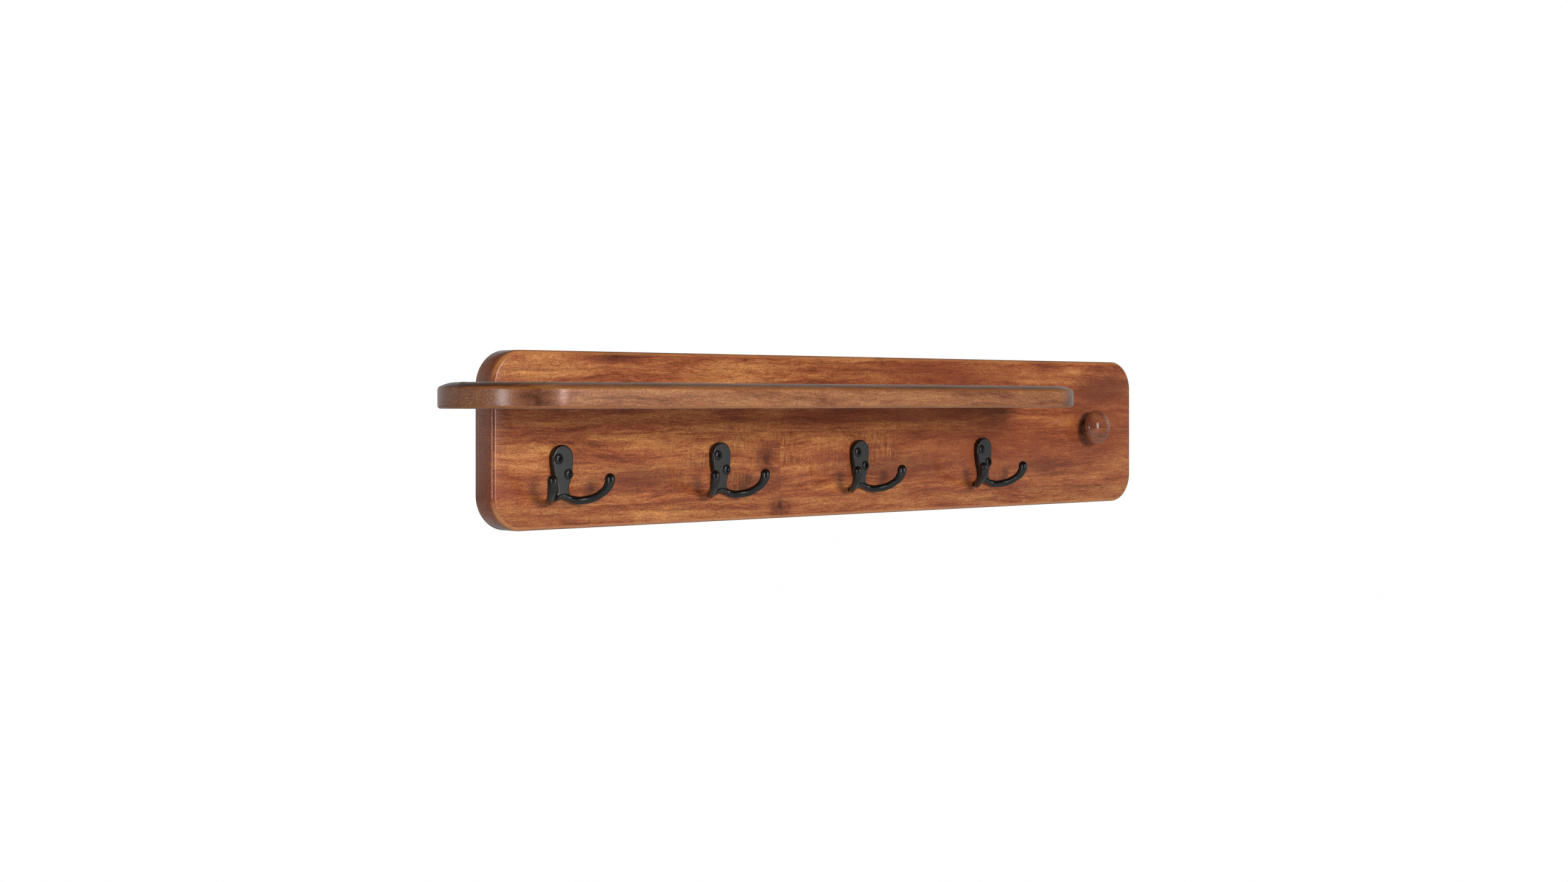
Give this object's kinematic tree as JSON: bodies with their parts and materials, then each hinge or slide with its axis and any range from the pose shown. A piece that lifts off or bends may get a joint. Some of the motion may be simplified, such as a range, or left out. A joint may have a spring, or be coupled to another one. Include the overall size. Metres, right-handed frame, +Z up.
{
  "type": "peg rail with shelf",
  "caption": "Wall-mounted wooden peg rail with a shelf that overhangs one end, cast double hooks and a turned knob; it hangs on wall screws by keyhole slots.",
  "frame": {"origin": "centre of the backboard's back face, where it meets the wall", "axes": "+Y into the wall, so the rail stands out towards -Y; +X to the right along the wall; +Z up"},
  "size_m": [0.813, 0.132, 0.13],
  "materials": {
    "board_wood": "satin lacquer",
    "shelf_wood": "satin lacquer",
    "knob_wood": "gloss lacquer",
    "hook_black": "satin black powder coat",
    "screw_steel": "zinc plated"
  },
  "bodies": {
    "root": {"backboard": "board_wood", "shelf": "shelf_wood", "hook_1": "hook_black", "hook_2": "hook_black", "hook_3": "hook_black", "hook_4": "hook_black", "knob": "knob_wood"}
  },
  "joints": []
}
